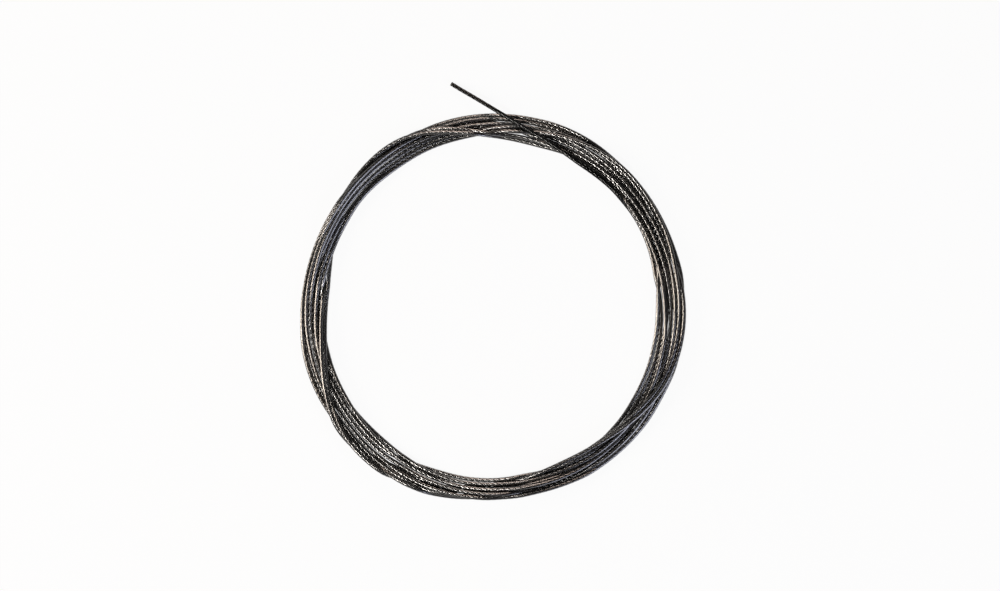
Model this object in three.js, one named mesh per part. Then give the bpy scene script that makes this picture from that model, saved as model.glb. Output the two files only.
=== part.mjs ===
// A bicycle shift cable: one stranded steel wire, wound into a loose flat coil that lies on its side.
// One cut end rises out of the turns, crosses over them from the inner side to the outer side,
// and slopes down until its tip rests beside the coil.
// Millimetres, +Z up, with the coil's flat underside at z = 0.
import * as THREE from 'three';

// The cable itself
const cableDiameter = 1.1;
const cableSides = 8;
const stepsPerDiameter = 0.4;

// The space that the turns fill, as one ring with rounded edges
const coilMeanRadius = 48.3;
const coilBandWidth = 8.6;
const coilHeight = 2.2;
const coilEdgeRadius = 0.85;
const coilEdgeSteps = 4;
const coilSegments = 96;

// The free end's clearance above the coil, and above the surface that both lie on
const crossingGap = 0.3;
const tipGap = 0.05;

// The free end's route from the coil to the tip: x and y from the coil's centre, and how much of the
// way up from the surface to the top of the coil the cable's middle is
const freeEndRoute = [
  [24.9, 37.7, 1],
  [22.5, 39.3, 1],
  [20.1, 41.1, 1],
  [17.9, 42.6, 1],
  [15.7, 44.1, 1],
  [13.4, 45.6, 1],
  [11.1, 46.9, 1],
  [8.8, 48.3, 1],
  [6.5, 49.7, 1],
  [4.2, 51.15, 1],
  [1.9, 52.5, 0.97],
  [-0.4, 53.9, 0.87],
  [-2.7, 55.3, 0.71],
  [-5.0, 56.7, 0.52],
  [-7.2, 58.0, 0.32],
  [-9.4, 59.3, 0.14],
  [-11.3, 60.5, 0],
];

const steel = new THREE.MeshStandardMaterial({ color: 0x6e6c69, roughness: 0.32, metalness: 1 });

const cableRadius = cableDiameter / 2;
const coilInnerRadius = coilMeanRadius - coilBandWidth / 2;
const coilOuterRadius = coilMeanRadius + coilBandWidth / 2;

// A rounded rectangle that closes on itself, from the middle of the flat underside and round
function coilProfile() {
  const corners = [
    [coilOuterRadius - coilEdgeRadius, coilEdgeRadius, -Math.PI / 2],
    [coilOuterRadius - coilEdgeRadius, coilHeight - coilEdgeRadius, 0],
    [coilInnerRadius + coilEdgeRadius, coilHeight - coilEdgeRadius, Math.PI / 2],
    [coilInnerRadius + coilEdgeRadius, coilEdgeRadius, Math.PI],
  ];
  const points = [];
  for (const [radius, height, startAngle] of corners) {
    for (let step = 0; step <= coilEdgeSteps; step += 1) {
      const angle = startAngle + (Math.PI / 2) * (step / coilEdgeSteps);
      points.push(new THREE.Vector2(
        radius + coilEdgeRadius * Math.cos(angle),
        height + coilEdgeRadius * Math.sin(angle),
      ));
    }
  }
  points.push(points[0].clone());
  return points;
}

function makeCoiledTurns() {
  const geometry = new THREE.LatheGeometry(coilProfile(), coilSegments);
  geometry.rotateX(Math.PI / 2);
  const mesh = new THREE.Mesh(geometry, steel);
  mesh.name = 'coiled_turns';
  return mesh;
}

// The height of the cable's middle when it lies on the surface, and how much higher the coil lifts it
function freeEndPoint([x, y, share]) {
  const lowest = cableRadius + tipGap;
  const highest = coilHeight + crossingGap + cableRadius;
  return new THREE.Vector3(x, y, lowest + share * (highest - lowest));
}

function makeFreeEnd() {
  const path = new THREE.CatmullRomCurve3(freeEndRoute.map(freeEndPoint), false, 'centripetal');
  const section = new THREE.Shape();
  for (let side = 0; side < cableSides; side += 1) {
    const angle = (2 * Math.PI * (side + 0.5)) / cableSides;
    const x = cableRadius * Math.cos(angle);
    const y = cableRadius * Math.sin(angle);
    if (side === 0) section.moveTo(x, y);
    else section.lineTo(x, y);
  }
  section.closePath();
  const steps = Math.ceil((path.getLength() / cableDiameter) * stepsPerDiameter);
  const geometry = new THREE.ExtrudeGeometry(section, { steps, extrudePath: path });
  const mesh = new THREE.Mesh(geometry, steel);
  mesh.name = 'free_end';
  return mesh;
}

// The origin is the middle of the whole cable's footprint, on the surface that it lies on
const group = new THREE.Group();
group.add(makeCoiledTurns(), makeFreeEnd());
group.updateMatrixWorld(true);
const footprint = new THREE.Box3().setFromObject(group, true).getCenter(new THREE.Vector3());
group.position.set(-footprint.x, -footprint.y, 0);
group.updateMatrixWorld(true);

export default group;
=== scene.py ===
# A bicycle shift cable, wound into a loose flat coil, seen from straight above on white.
# Metres in Blender. The values for the camera, the route and the cable are in millimetres.
import bpy
import numpy as np
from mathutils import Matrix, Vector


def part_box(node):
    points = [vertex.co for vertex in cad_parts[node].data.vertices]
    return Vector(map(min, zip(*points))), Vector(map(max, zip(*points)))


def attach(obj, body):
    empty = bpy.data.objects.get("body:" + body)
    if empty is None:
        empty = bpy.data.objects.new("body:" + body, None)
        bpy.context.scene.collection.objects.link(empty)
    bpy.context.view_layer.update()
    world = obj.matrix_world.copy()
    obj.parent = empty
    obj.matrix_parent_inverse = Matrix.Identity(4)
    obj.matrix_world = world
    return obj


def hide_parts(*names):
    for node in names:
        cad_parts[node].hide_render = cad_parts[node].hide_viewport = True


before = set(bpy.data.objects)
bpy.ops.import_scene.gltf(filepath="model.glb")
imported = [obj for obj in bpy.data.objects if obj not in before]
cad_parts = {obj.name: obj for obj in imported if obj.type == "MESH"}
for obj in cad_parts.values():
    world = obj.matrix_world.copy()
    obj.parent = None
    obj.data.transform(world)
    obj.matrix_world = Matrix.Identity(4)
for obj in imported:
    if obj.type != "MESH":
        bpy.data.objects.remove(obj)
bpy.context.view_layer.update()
scene = bpy.context.scene
mm = 0.001
print("frame loaded")

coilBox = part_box("coiled_turns")
coilMiddle = (coilBox[0] + coilBox[1]) / 2  # the ring's own middle, off the whole cable's by the free end


# Camera

cameraLook = {
    "height": 900.0,
    "shownWidth": 268.3,  # what 1000 pixels show, at the height of the wires
    "aimX": 1.77,  # from the ring's middle to the picture's
    "aimY": 3.73,
}


def makeCamera(look):
    data = bpy.data.cameras.new("camera")
    data.sensor_width = 36
    data.lens = data.sensor_width * look["height"] / look["shownWidth"]
    data.clip_end = 10
    camera = bpy.data.objects.new("camera", data)
    camera.location = (
        coilMiddle.x + look["aimX"] * mm,
        coilMiddle.y + look["aimY"] * mm,
        look["height"] * mm,
    )
    scene.collection.objects.link(camera)
    scene.camera = camera


makeCamera(cameraLook)


# The cable's route: the turns first, then the free end

route = {
    "thickness": 1.1,
    "turnsX": 0.16,  # where the turns are centred, from the ring's middle
    "turnsY": 0.91,
    "hiddenEndAngle": 170,
    "lastTurn": 10,
    "layerHeight": 0.6,  # this and the next three are shares of the thickness
    "tangledUp": 0.35,
    "tangledAcross": 0.8,
    "besideEachOther": 0.95,
    "laterOnTop": 0.0001,  # what each turn adds to the order, for turns that have the same
    "settleRounds": 600,
    "stiffness": 0.25,
    "holdRadius": (0.01, 0.06),  # how firmly a turn keeps its place at the bottom, and higher up
    "closeGaps": 0.2,
    "sink": 0.006,  # how far the turns drop in the first round, as a share of their thickness
    "fineStep": 0.2,
    "softenRounds": 80,
}

# One list for each turn, anticlockwise. A point is the angle, the distance from the middle of the
# turns, and how high in the bundle the wire runs there: 0 is the bottom, and 3 or a little more lies
# over all others.
turns = [
    [(170, 47.8, 0), (190, 47.5, 0), (205, 47.1, 0), (215, 46.8, 0), (224, 46.6, 0.8)],
    [(230, 46.6, 1), (240, 47.0, 1), (245, 47.5, 1), (255, 47.8, 1), (265, 47.9, 1), (275, 47.7, 1),
     (290, 47.7, 1), (300, 47.9, 1), (316, 48.1, 1), (322, 48.0, 1), (330, 47.9, 1), (340, 47.1, 1),
     (350, 46.4, 1), (360, 45.9, 1), (370, 45.4, 1), (380, 45.2, 1), (410, 45.2, 1), (420, 45.4, 1),
     (430, 45.5, 1), (440, 45.6, 1.5), (448, 46.0, 2), (455, 46.7, 3), (460, 47.8, 3), (465, 49.1, 3),
     (470, 50.2, 3), (474, 50.7, 2), (480, 50.8, 1), (487, 50.6, 0.4), (495, 50.0, 0), (510, 48.6, 0),
     (518, 46.6, 0), (523, 45.6, 0.6), (528, 45.0, 1), (535, 44.9, 1), (540, 45.0, 1.5),
     (545, 45.4, 2), (550, 46.0, 3), (553, 46.5, 3), (560, 48.1, 3.5), (570, 50.6, 3.5),
     (575, 51.8, 3.5), (580, 52.9, 3.5), (585, 53.4, 3)],
    [(590, 53.6, 2.5), (596, 53.5, 1.5), (602, 52.6, 0.5), (610, 51.0, 0), (620, 49.3, 0), (630, 47.8, 0),
     (637, 47.0, 0.6), (643, 46.5, 1.6), (650, 45.9, 2.2), (655, 45.7, 2.6), (660, 45.8, 3),
     (665, 46.0, 3), (670, 46.5, 3), (675, 47.3, 3), (680, 48.0, 3), (685, 48.8, 3), (690, 49.6, 3),
     (695, 50.4, 3), (700, 50.8, 2.6), (710, 51.1, 2.2), (720, 50.9, 2), (725, 50.6, 1.6),
     (730, 50.1, 1.2), (736, 49.5, 0.8), (745, 49.2, 0.6), (755, 49.6, 0.8), (765, 49.8, 1.2),
     (778, 49.8, 1.6), (790, 49.3, 2), (799, 48.5, 2), (810, 47.6, 1), (820, 47.2, 0.2), (828, 47.1, 0.6),
     (835, 47.0, 1), (840, 46.6, 1), (850, 46.4, 1), (870, 46.4, 1), (880, 46.7, 1), (890, 47.0, 1),
     (900, 47.6, 1), (910, 48.2, 1), (917, 48.5, 1), (926, 48.7, 1), (940, 49.1, 1)],
    [(950, 49.4, 1), (960, 49.7, 1), (970, 50.0, 1), (980, 50.3, 1), (990, 50.6, 1), (1000, 50.4, 1),
     (1010, 50.6, 1), (1020, 50.6, 1), (1030, 50.2, 1), (1040, 50.1, 1), (1048, 50.0, 0.8),
     (1060, 49.2, 0.4), (1070, 48.9, 0.8), (1080, 48.7, 1), (1090, 48.4, 1), (1100, 48.2, 1),
     (1120, 48.2, 1), (1130, 48.4, 1), (1144, 48.7, 0.8), (1155, 48.7, 0.6), (1165, 48.7, 1),
     (1182, 48.7, 1), (1192, 48.6, 0.8), (1205, 48.8, 1), (1220, 48.6, 1), (1240, 48.6, 1),
     (1250, 48.7, 1), (1260, 49.2, 1), (1270, 49.5, 1), (1280, 49.8, 1), (1285, 50.0, 1),
     (1291, 50.2, 0.8), (1300, 50.5, 1)],
    [(1310, 50.9, 1.2), (1320, 51.3, 1.4), (1330, 51.6, 1.6), (1340, 51.6, 1.8), (1350, 51.2, 1.6),
     (1355, 51.0, 1.4), (1370, 51.2, 1), (1385, 51.4, 1), (1400, 51.4, 1), (1410, 50.9, 0.8),
     (1425, 50.6, 0), (1460, 50.4, 0), (1485, 50.5, 0), (1497, 50.6, 0.2), (1505, 50.8, 0.4),
     (1520, 51.0, 0.4), (1535, 51.1, 0.4), (1550, 50.8, 0.2), (1560, 50.3, 0), (1570, 49.9, 0.4),
     (1580, 49.8, 1), (1590, 49.9, 1), (1600, 50.3, 1), (1610, 50.6, 1), (1620, 51.1, 1),
     (1625, 51.5, 1), (1630, 52.1, 1), (1640, 52.6, 1), (1650, 52.6, 1), (1657, 52.4, 0.8),
     (1664, 52.4, 1)],
    [(1670, 52.8, 1.2), (1675, 53.1, 1.4), (1685, 53.0, 1.4), (1690, 52.9, 1.2), (1696, 52.5, 0.6),
     (1705, 51.4, 0), (1715, 49.9, 0), (1725, 48.4, 0), (1735, 47.2, 0), (1745, 46.4, 0.2),
     (1755, 45.8, 0.6), (1760, 45.5, 1), (1770, 44.8, 1), (1780, 44.3, 1), (1790, 44.0, 1),
     (1800, 43.9, 1), (1810, 44.4, 0.6), (1815, 45.1, 0.2), (1820, 45.6, 0), (1830, 45.9, 0),
     (1850, 45.9, 0),
     (1862, 45.7, 0.2), (1868, 45.0, 0.6), (1875, 44.6, 1), (1880, 44.7, 1), (1885, 45.1, 1.6),
     (1890, 45.7, 2.2), (1895, 46.4, 3), (1900, 47.1, 3.2), (1905, 48.2, 3.2), (1910, 49.5, 3.2),
     (1915, 50.6, 3.2), (1920, 51.2, 2.6), (1925, 51.3, 2.2), (1930, 51.1, 1.8), (1934, 50.7, 1.2),
     (1940, 50.0, 0.4), (1950, 49.1, 0), (1965, 47.4, 0), (1972, 46.2, 0.6), (1977, 45.8, 1.4),
     (1980, 45.9, 2), (1985, 46.4, 3), (1993, 47.2, 3), (2000, 48.7, 3), (2005, 50.0, 3),
     (2012, 51.9, 3), (2018, 53.1, 2.2), (2024, 53.3, 1.2)],
    [(2030, 53.1, 0.6), (2040, 52.6, 0.2), (2050, 51.6, 0), (2060, 50.4, 0), (2070, 49.2, 0),
     (2080, 48.1, 0), (2090, 47.2, 0), (2100, 46.4, 0.6), (2110, 46.1, 1.4), (2115, 46.5, 2),
     (2120, 47.2, 2.4), (2125, 47.9, 2.6), (2130, 48.8, 2.6), (2135, 49.4, 2.6), (2140, 49.7, 2.4),
     (2150, 49.8, 2.2), (2160, 49.6, 2.2), (2170, 49.6, 2.2), (2180, 49.9, 2.4), (2190, 50.2, 2.6),
     (2200, 50.5, 2.8), (2205, 50.6, 3), (2215, 50.1, 3), (2225, 49.1, 3), (2235, 48.1, 3),
     (2245, 47.1, 2.8), (2252, 46.5, 2), (2260, 46.0, 0.8), (2270, 45.7, 0.6), (2280, 45.4, 1),
     (2285, 45.3, 1), (2295, 45.7, 1), (2320, 45.8, 1), (2330, 46.1, 1), (2335, 46.3, 0.8),
     (2345, 46.5, 0.2), (2355, 46.5, 0.2), (2363, 46.5, 0.6), (2375, 46.7, 1), (2385, 47.2, 1)],
    [(2390, 47.5, 1), (2400, 48.1, 1), (2410, 48.7, 1), (2422, 49.4, 1), (2430, 49.1, 1),
     (2440, 49.2, 1), (2460, 49.3, 1), (2470, 49.1, 1), (2483, 49.0, 0.8), (2495, 48.6, 0.8),
     (2505, 48.2, 1), (2515, 47.7, 1), (2520, 47.4, 1), (2530, 46.9, 1), (2540, 46.7, 1),
     (2565, 46.6, 1), (2590, 46.4, 0.8), (2600, 47.6, 0), (2607, 49.0, 0), (2615, 49.4, 0),
     (2635, 49.3, 0), (2670, 48.9, 0), (2690, 49.9, 0), (2705, 51.2, 0.6), (2715, 51.4, 1),
     (2725, 51.7, 1), (2735, 52.0, 0.8), (2742, 52.8, 0)],
    [(2750, 52.2, 0), (2758, 50.8, 0), (2770, 50.5, 0), (2780, 50.3, 0), (2800, 50.0, 0),
     (2830, 50.0, 0), (2860, 50.0, 0), (2870, 49.4, 0), (2880, 48.4, 0), (2890, 47.7, 0), (2900, 47.5, 0),
     (2910, 47.8, 0), (2920, 48.9, 0), (2930, 49.8, 0.2),
     (2940, 50.3, 0.6), (2950, 50.4, 1), (2960, 50.3, 1), (2975, 50.2, 1), (2985, 50.0, 1),
     (2995, 49.8, 0.8), (3005, 49.6, 1), (3030, 49.4, 1), (3040, 49.5, 1), (3050, 49.8, 1),
     (3060, 50.3, 1), (3070, 50.7, 1), (3080, 50.9, 1), (3088, 51.2, 1), (3098, 51.5, 0.8)],
    [(3110, 52.0, 1), (3120, 52.3, 1.2), (3130, 52.6, 1.2), (3136, 52.1, 0.6), (3145, 50.9, 0),
     (3155, 49.8, 0), (3165, 48.9, 0), (3175, 48.4, 0), (3190, 48.2, 0), (3200, 47.7, 0),
     (3210, 46.9, 0), (3225, 46.1, 0), (3240, 46.3, 0), (3250, 46.3, 0), (3260, 46.6, 0), (3270, 47.2, 0),
     (3280, 47.5, 0), (3290, 47.6, 0.4), (3310, 47.7, 1), (3320, 47.8, 0.6),
     (3340, 48.0, 0), (3355, 47.8, 0.6), (3370, 47.6, 1), (3385, 47.7, 0.8), (3400, 47.8, 0.2),
     (3430, 47.9, 0), (3445, 48.2, 0), (3460, 48.3, 0)],
    [(3470, 48.2, 0), (3480, 47.6, 0), (3490, 46.9, 0.6), (3500, 46.8, 1), (3540, 46.8, 1), (3545, 47.2, 1),
     (3550, 47.4, 0.8), (3558, 46.9, 0.6), (3565, 46.3, 0.8), (3580, 46.0, 0.8), (3590, 45.3, 0.6),
     (3600, 44.5, 0.6), (3610, 44.4, 0.6), (3620, 44.5, 0.6), (3630, 44.7, 0.6), (3640, 44.7, 1)],
]
# The free end: x and y from the ring's middle, and how much of the way up to the top of the coil
freeEnd = [
    (24.9, 37.7, 1),
    (22.5, 39.3, 1),
    (20.1, 41.1, 1),
    (17.9, 42.6, 1),
    (15.7, 44.1, 1),
    (13.4, 45.6, 1),
    (11.1, 46.9, 1),
    (8.8, 48.3, 1),
    (6.5, 49.7, 1),
    (4.2, 51.15, 1),
    (1.9, 52.5, 0.97),
    (-0.4, 53.9, 0.87),
    (-2.7, 55.3, 0.71),
    (-5.0, 56.7, 0.52),
    (-7.2, 58.0, 0.32),
    (-9.4, 59.3, 0.14),
    (-11.3, 60.5, 0),
]
freeEndHeights = {"low": 0.6, "high": 3.05}  # the cable's middle, on the surface and over the coil
topLayer = 3.0
overAllTurns = 4.0


def smoothThrough(places, values, wanted):
    # a cubic through every point, with slopes taken from its neighbours
    slopes = np.gradient(values, places)
    index = np.clip(np.searchsorted(places, wanted, side="right") - 1, 0, len(places) - 2)
    span = places[index + 1] - places[index]
    t = (wanted - places[index]) / span
    start, end = values[index], values[index + 1]
    return (
        (2 * t**3 - 3 * t**2 + 1) * start
        + (t**3 - 2 * t**2 + t) * span * slopes[index]
        + (3 * t**2 - 2 * t**3) * end
        + (t**3 - t**2) * span * slopes[index + 1]
    )


def freeEndPoints():
    low, high = freeEndHeights["low"], freeEndHeights["high"]
    return np.array([(x, y, low + share * (high - low)) for x, y, share in freeEnd])


def sampleTurns(facts):
    # one sample for each degree: distance, height and order, and which of them are the free end's
    points = np.array([point for turn in turns for point in turn], float)
    end = freeEndPoints()
    endX, endY = end[:, 0] - facts["turnsX"], end[:, 1] - facts["turnsY"]
    endAngles = 360 * facts["lastTurn"] + np.degrees(np.arctan2(endY, endX))
    angles = np.arange(facts["hiddenEndAngle"], int(endAngles[-1]))
    onCoil = angles < endAngles[0]
    bridge = np.append(points[:, 0], endAngles)
    aim = smoothThrough(bridge, np.append(points[:, 1], np.hypot(endX, endY)), angles)
    order = np.interp(angles, bridge, np.append(points[:, 2], np.full(len(end), overAllTurns)))
    height = facts["thickness"] * (0.5 + facts["layerHeight"] * np.minimum(order, topLayer))
    height = np.where(onCoil, height, np.interp(angles, endAngles, end[:, 2]))
    return angles, aim, height, order, onCoil


def pushApart(radius, height, order, facts):
    # each pair of turns at the same angle, along the line between them, or upright where they lie in
    # the wrong order
    thickness = facts["thickness"]
    tangledUp = facts["tangledUp"] * thickness
    tangledAcross = facts["tangledAcross"] * thickness
    for apart in range(1, (len(radius) - 1) // 360 + 1):
        low, high = slice(0, len(radius) - 360 * apart), slice(360 * apart, len(radius))
        across = radius[high] - radius[low]
        up = height[high] - height[low]
        side = np.where(order[high] >= order[low], 1.0, -1.0)
        distance = np.hypot(across, up) + 1e-9
        close = np.maximum(thickness - distance, 0) / distance
        tangled = (side * up < tangledUp) & (np.abs(across) < tangledAcross)
        upright = side * np.sqrt(np.maximum(thickness**2 - across**2, 0)) - up
        lift = np.where(tangled, 0.5 * upright, close * up)
        push = np.where(tangled, 0, close * across)
        height[high] += 0.5 * lift
        height[low] -= 0.5 * lift
        radius[high] += 0.5 * push
        radius[low] -= 0.5 * push


def closeGaps(radius, onCoil, facts):
    # turns that lie next to each other with the surface showing between them move together
    beside = facts["besideEachOther"] * facts["thickness"]
    table = np.full(360 * (len(radius) // 360 + 1), np.inf)
    table[:len(radius)] = np.where(onCoil, radius, np.inf)
    table = table.reshape(-1, 360)
    rows = np.argsort(table, axis=0)
    ranked = np.take_along_axis(table, rows, axis=0)
    gap = np.maximum(np.diff(ranked, axis=0) - beside, 0)
    gap[~np.isfinite(gap)] = 0
    ranked[:-1] += facts["closeGaps"] * gap
    ranked[1:] -= facts["closeGaps"] * gap
    np.put_along_axis(table, rows, ranked, axis=0)
    radius[:] = np.where(onCoil, table.reshape(-1)[:len(radius)], radius)


def straighten(line, share):
    # moves each point towards the middle of its two neighbours
    line[1:-1] += share * (line[:-2] - 2 * line[1:-1] + line[2:])


def settleTurns(facts):
    # lets the turns down onto each other
    angles, aim, height, order, onCoil = sampleTurns(facts)
    order = order + facts["laterOnTop"] * np.arange(len(order)) / 360
    thickness = facts["thickness"]
    radius = aim.copy()
    fixedHeight = height.copy()
    hold = np.interp(order, [0, 1], facts["holdRadius"])
    for settleRound in range(facts["settleRounds"]):
        pushApart(radius, height, order, facts)
        closeGaps(radius, onCoil, facts)
        height -= facts["sink"] * thickness * (1 - settleRound / facts["settleRounds"])
        radius += hold * (aim - radius)
        for line in (height, radius):
            straighten(line, facts["stiffness"])
        height = np.where(onCoil, np.maximum(height, thickness / 2), fixedHeight)
        radius = np.where(onCoil, radius, aim)
    turn = np.radians(angles)
    settled = np.stack([
        facts["turnsX"] + radius * np.cos(turn),
        facts["turnsY"] + radius * np.sin(turn),
        height,
    ], axis=1)
    return settled[onCoil][:-2]


def evenSteps(points, step):
    # the same line with points a fixed step apart
    along = np.concatenate([[0], np.cumsum(np.linalg.norm(np.diff(points, axis=0), axis=1))])
    count = int(round(along[-1] / step))
    wanted = np.linspace(0, along[-1], count + 1)
    return np.stack([smoothThrough(along, points[:, axis], wanted) for axis in range(3)], axis=1)


def makeRoute(facts):
    soft = evenSteps(np.concatenate([settleTurns(facts), freeEndPoints()]), facts["fineStep"])
    for softenRound in range(facts["softenRounds"]):
        straighten(soft, facts["stiffness"])
    soft += np.array([coilMiddle.x / mm, coilMiddle.y / mm, 0])
    return soft


centreLine = makeRoute(route)
cableLength = float(np.linalg.norm(np.diff(centreLine, axis=0), axis=1).sum())
print("route settled, length", round(cableLength), "mm, highest", round(float(centreLine[:, 2].max()), 2))


# The cable: one straight strand, and six more laid round it and pressed flat against each other

cableBuild = {
    "outerStrands": 6,
    "layLength": 9.2,
    "ringsInLay": 18,
    "strandCorners": (-78, -47, -16, 16, 47, 78, 130, 230),  # degrees round a strand, from the outside
    "strandWidth": 1.45,  # how many times as wide as it is deep
    "heartCorners": (0, 60, 120, 180, 240, 300),
    "heartStep": 5.0,
    "strandsInPiece": 2,
}
strandRadius = route["thickness"] / 6


def carriedFrames(line):
    # two directions across the line at each point, carried along it without twist
    forward = np.gradient(line, axis=0)
    forward /= np.linalg.norm(forward, axis=1)[:, None]
    across = np.zeros_like(line)
    across[0] = np.cross(forward[0], (0, 0, 1))
    across[0] /= np.linalg.norm(across[0])
    for index in range(1, len(line)):
        carried = across[index - 1] - forward[index] * np.dot(across[index - 1], forward[index])
        across[index] = carried / np.linalg.norm(carried)
    return across, np.cross(forward, across)


def strandTube(line, middle, outward, corners, width):
    # ring after ring of points round a strand's own middle, and both ends cut square to the cable
    forward = np.gradient(middle, axis=0)
    forward /= np.linalg.norm(forward, axis=1)[:, None]
    sideways = np.cross(forward, outward)
    turn = np.radians(corners)
    rings = (
        middle[:, None, :]
        + (strandRadius * np.cos(turn))[None, :, None] * outward[:, None, :]
        + (strandRadius * width * np.sin(turn))[None, :, None] * sideways[:, None, :]
    )
    for end, inside in ((0, 1), (-1, -2)):
        cableWay = line[end] - line[inside]
        past = (rings[end] - line[end]) @ cableWay / (forward[end] @ cableWay)
        rings[end] -= past[:, None] * forward[end]
    return rings


def tubeFaces(rings, sides, first):
    ring = np.arange(rings - 1)[:, None] * sides
    side = np.arange(sides)[None, :]
    following = (side + 1) % sides
    quads = np.stack([ring + side, ring + following, ring + sides + following, ring + sides + side], axis=2)
    caps = [list(range(first + sides - 1, first - 1, -1)),
            list(range(first + (rings - 1) * sides, first + rings * sides))]
    return (quads.reshape(-1, 4) + first).tolist(), caps


def meshPiece(name, tubes, step):
    # one mesh of several strands; its UV map holds the way along a strand and the way round it
    points, faces, caps, places = [], [], [], []
    for tube in tubes:
        rings, sides = tube.shape[:2]
        first = sum(len(part) for part in points)
        tubeQuads, tubeCaps = tubeFaces(rings, sides, first)
        points.append(tube.reshape(-1, 3))
        faces += tubeQuads
        caps += tubeCaps
        start = np.repeat(np.arange(rings - 1), sides)
        way = np.tile(np.arange(sides), rings - 1)
        corners = [(start, way), (start, way + 1), (start + 1, way + 1), (start + 1, way)]
        quadPlaces = [np.stack([step * ring, turn / sides], axis=1) for ring, turn in corners]
        places.append(np.stack(quadPlaces, axis=1).reshape(-1, 2))
    mesh = bpy.data.meshes.new(name)
    mesh.from_pydata((np.concatenate(points) * mm).tolist(), [], faces + caps)
    mesh.polygons.foreach_set("use_smooth", [True] * len(faces) + [False] * len(caps))
    layer = mesh.uv_layers.new(name="strandMap")
    flat = np.zeros((len(mesh.loops), 2))
    quads = np.concatenate(places)
    flat[:len(quads)] = quads
    layer.data.foreach_set("uv", flat.ravel())
    mesh.update()
    piece = bpy.data.objects.new(name, mesh)
    scene.collection.objects.link(piece)
    return piece


def makeCable(build):
    ringStep = build["layLength"] / build["ringsInLay"]
    line = evenSteps(centreLine, ringStep)
    across, upward = carriedFrames(line)
    twist = 2 * np.pi * np.arange(len(line)) / build["ringsInLay"]
    tubes = []
    for number in range(build["outerStrands"]):
        angle = twist + 2 * np.pi * number / build["outerStrands"]
        outward = np.cos(angle)[:, None] * across + np.sin(angle)[:, None] * upward
        middle = line + 2 * strandRadius * outward
        tubes.append(strandTube(line, middle, outward, build["strandCorners"], build["strandWidth"]))
    pieces = []
    for first in range(0, build["outerStrands"], build["strandsInPiece"]):
        group = tubes[first:first + build["strandsInPiece"]]
        if first == 0:
            heart = evenSteps(centreLine, build["heartStep"])
            group.append(strandTube(heart, heart, carriedFrames(heart)[0], build["heartCorners"], 1))
        pieces.append(meshPiece(f"cable_strands_{len(pieces) + 1}", group, ringStep))
    return pieces, line


cablePieces, ringMiddles = makeCable(cableBuild)
for piece in cablePieces:
    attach(piece, "root")
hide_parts("coiled_turns", "free_end")
print("cable made")


# Materials

class Link:
    # wraps a socket, so that shader maths reads as plain expressions
    def __init__(self, shader, socket):
        self.shader = shader
        self.socket = socket

    def maths(self, operation, first, second):
        return self.shader.node("ShaderNodeMath", {"operation": operation}, {0: first, 1: second})

    def __add__(self, other):
        return self.maths("ADD", self, other)

    def __radd__(self, other):
        return self.maths("ADD", other, self)

    def __sub__(self, other):
        return self.maths("SUBTRACT", self, other)

    def __rsub__(self, other):
        return self.maths("SUBTRACT", other, self)

    def __mul__(self, other):
        return self.maths("MULTIPLY", self, other)

    def __rmul__(self, other):
        return self.maths("MULTIPLY", other, self)


class Shader:
    def __init__(self, name):
        self.material = bpy.data.materials.new(name)
        self.material.use_nodes = True
        self.tree = self.material.node_tree
        self.tree.nodes.clear()

    def node(self, kind, settings, inputs, output=0):
        made = self.tree.nodes.new(kind)
        for name, value in settings.items():
            setattr(made, name, value)
        for name, value in inputs.items():
            if isinstance(value, Link):
                self.tree.links.new(value.socket, made.inputs[name])
            else:
                made.inputs[name].default_value = value
        return Link(self, made.outputs[output]) if len(made.outputs) else None


steelLook = {
    "color": (0.33, 0.32, 0.31, 1),
    "darkColor": (0.23, 0.222, 0.215, 1),
    "paintedShadeEndColor": (0.055, 0.054, 0.053, 1),
    "paintedShadeEndLength": 56.0,  # the last stretch is painted almost black, a painted shade
    "paintedShadeEndFade": 10.0,
    "paintedGrooveShadeColor": (0.05, 0.048, 0.046, 1),  # painted shade where two strands meet, darkening the grooves between them
    "outsideMiddle": 0.3125,  # these three are shares of the way round a strand
    "paintedGrooveShadeStart": 0.12,
    "paintedGrooveShadeFull": 0.32,
    "edgeTint": (0.1, 0.1, 0.1, 1),
    "roughness": 0.18,
    "roughnessChange": 0.06,
    "patchesPerMetre": 160,
    "patchDetail": 2.0,
    "grainPerMetre": 2600,
    "grainDetail": 1.0,
    "patchShare": 0.7,
    "grainShare": 0.3,
    "stainRange": (0.35, 0.65),
}


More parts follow.
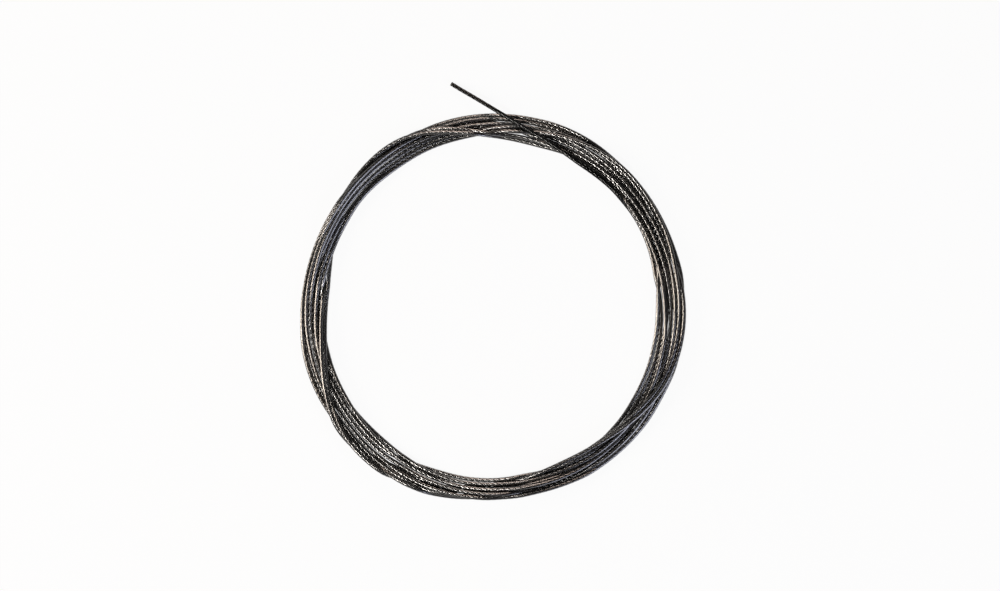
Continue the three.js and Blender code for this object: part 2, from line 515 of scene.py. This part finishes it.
def makeSteel(look):
    shader = Shader("cable_steel")
    place = shader.node("ShaderNodeTexCoord", {}, {}, "Object")
    patches = shader.node(
        "ShaderNodeTexNoise",
        {},
        {"Vector": place, "Scale": look["patchesPerMetre"], "Detail": look["patchDetail"]},
    )
    grain = shader.node(
        "ShaderNodeTexNoise",
        {},
        {"Vector": place, "Scale": look["grainPerMetre"], "Detail": look["grainDetail"]},
    )
    stain = shader.node(
        "ShaderNodeMapRange",
        {},
        {
            "Value": patches * look["patchShare"] + grain * look["grainShare"],
            "From Min": look["stainRange"][0],
            "From Max": look["stainRange"][1],
        },
    )
    strandMap = shader.node("ShaderNodeUVMap", {"uv_map": "strandMap"}, {})
    along = shader.node("ShaderNodeSeparateXYZ", {}, {0: strandMap})
    around = shader.node("ShaderNodeSeparateXYZ", {}, {0: strandMap}, 1)
    fromMiddle = shader.node(
        "ShaderNodeMath",
        {"operation": "ABSOLUTE"},
        {0: around - look["outsideMiddle"]},
    )
    # painted shade: the steel's colour darkens towards the grooves where two strands meet
    paintedGrooveShadeMask = shader.node(
        "ShaderNodeMapRange",
        {},
        {"Value": fromMiddle, "From Min": look["paintedGrooveShadeStart"], "From Max": look["paintedGrooveShadeFull"]},
    )
    # painted shade: the last stretch of the cable fades to an almost black colour
    paintedShadeEndStart = cableLength - look["paintedShadeEndLength"]
    paintedShadeEndMask = shader.node(
        "ShaderNodeMapRange",
        {},
        {"Value": along, "From Min": paintedShadeEndStart - look["paintedShadeEndFade"], "From Max": paintedShadeEndStart},
    )
    clean = shader.node(
        "ShaderNodeMix",
        {"data_type": "RGBA"},
        {0: stain, 6: look["darkColor"], 7: look["color"]},
        2,
    )
    withPaintedGrooveShade = shader.node(
        "ShaderNodeMix",
        {"data_type": "RGBA"},
        {0: paintedGrooveShadeMask, 6: clean, 7: look["paintedGrooveShadeColor"]},
        2,
    )
    color = shader.node(
        "ShaderNodeMix",
        {"data_type": "RGBA"},
        {0: paintedShadeEndMask, 6: withPaintedGrooveShade, 7: look["paintedShadeEndColor"]},
        2,
    )
    roughness = look["roughness"] + look["roughnessChange"] * (1 - stain)
    surface = shader.node(
        "ShaderNodeBsdfPrincipled",
        {},
        {"Base Color": color, "Metallic": 1.0, "Roughness": roughness, "Specular Tint": look["edgeTint"]},
    )
    shader.node("ShaderNodeOutputMaterial", {}, {"Surface": surface})
    return shader.material


steel = makeSteel(steelLook)
for piece in cablePieces:
    piece.data.materials.append(steel)
print("steel made")


# Floor, lamps and world

floorLook = {
    "size": 4.0,
    "color": (0.88, 0.88, 0.88, 1),
    "white": (1, 1, 1, 1),
    "whiteShare": 0.92,  # the rest takes the lamps' light and the cable's shadow
}


def makeFloor(look):
    half = look["size"] / 2
    corners = [(-half, -half, 0), (half, -half, 0), (half, half, 0), (-half, half, 0)]
    mesh = bpy.data.meshes.new("floor")
    mesh.from_pydata(corners, [], [(0, 1, 2, 3)])
    floor = bpy.data.objects.new("floor", mesh)
    scene.collection.objects.link(floor)
    shader = Shader("white_floor")
    shown = 0
    for ray in ("Is Camera Ray", "Is Glossy Ray", "Is Transmission Ray"):
        shown = shown + shader.node("ShaderNodeLightPath", {}, {}, ray)
    diffuse = shader.node("ShaderNodeBsdfDiffuse", {}, {"Color": look["color"]})
    white = shader.node("ShaderNodeEmission", {}, {"Color": look["white"], "Strength": 1.0})
    both = shader.node("ShaderNodeMixShader", {}, {0: shown * look["whiteShare"], 1: diffuse, 2: white})
    shader.node("ShaderNodeOutputMaterial", {}, {"Surface": both})
    mesh.materials.append(shader.material)


# The bare steel takes its warm and cool tints from three small lamps at its sides
lamps = [
    {"name": "keyLamp", "place": (-0.31, -0.41, 0.95), "size": 0.2, "power": 4.6, "color": (1, 0.97, 0.93)},
    {"name": "warmLamp", "place": (-0.94, -0.05, 0.36), "size": 0.4, "power": 7.2, "color": (1, 0.88, 0.76)},
    {"name": "blueLamp", "place": (0.7, -0.51, 0.42), "size": 0.6, "power": 4.4, "color": (0.75, 0.8, 1)},
    {"name": "pinkLamp", "place": (-0.04, 0.84, 0.4), "size": 0.3, "power": 2.1, "color": (1, 0.82, 0.72)},
]
worldStrength = 0.03


def makeLamp(look):
    data = bpy.data.lights.new(look["name"], "AREA")
    data.size = look["size"]
    data.energy = look["power"]
    data.color = look["color"]
    lamp = bpy.data.objects.new(look["name"], data)
    lamp.location = look["place"]
    lamp.rotation_euler = (-lamp.location).to_track_quat("-Z", "Y").to_euler()
    scene.collection.objects.link(lamp)


def makeWorld(strength):
    world = bpy.data.worlds.new("world")
    world.use_nodes = True
    world.node_tree.nodes["Background"].inputs["Color"].default_value = (1, 1, 1, 1)
    world.node_tree.nodes["Background"].inputs["Strength"].default_value = strength
    scene.world = world


makeFloor(floorLook)
for lamp in lamps:
    makeLamp(lamp)
makeWorld(worldStrength)
scene.view_settings.view_transform = "Standard"
print("stage made")
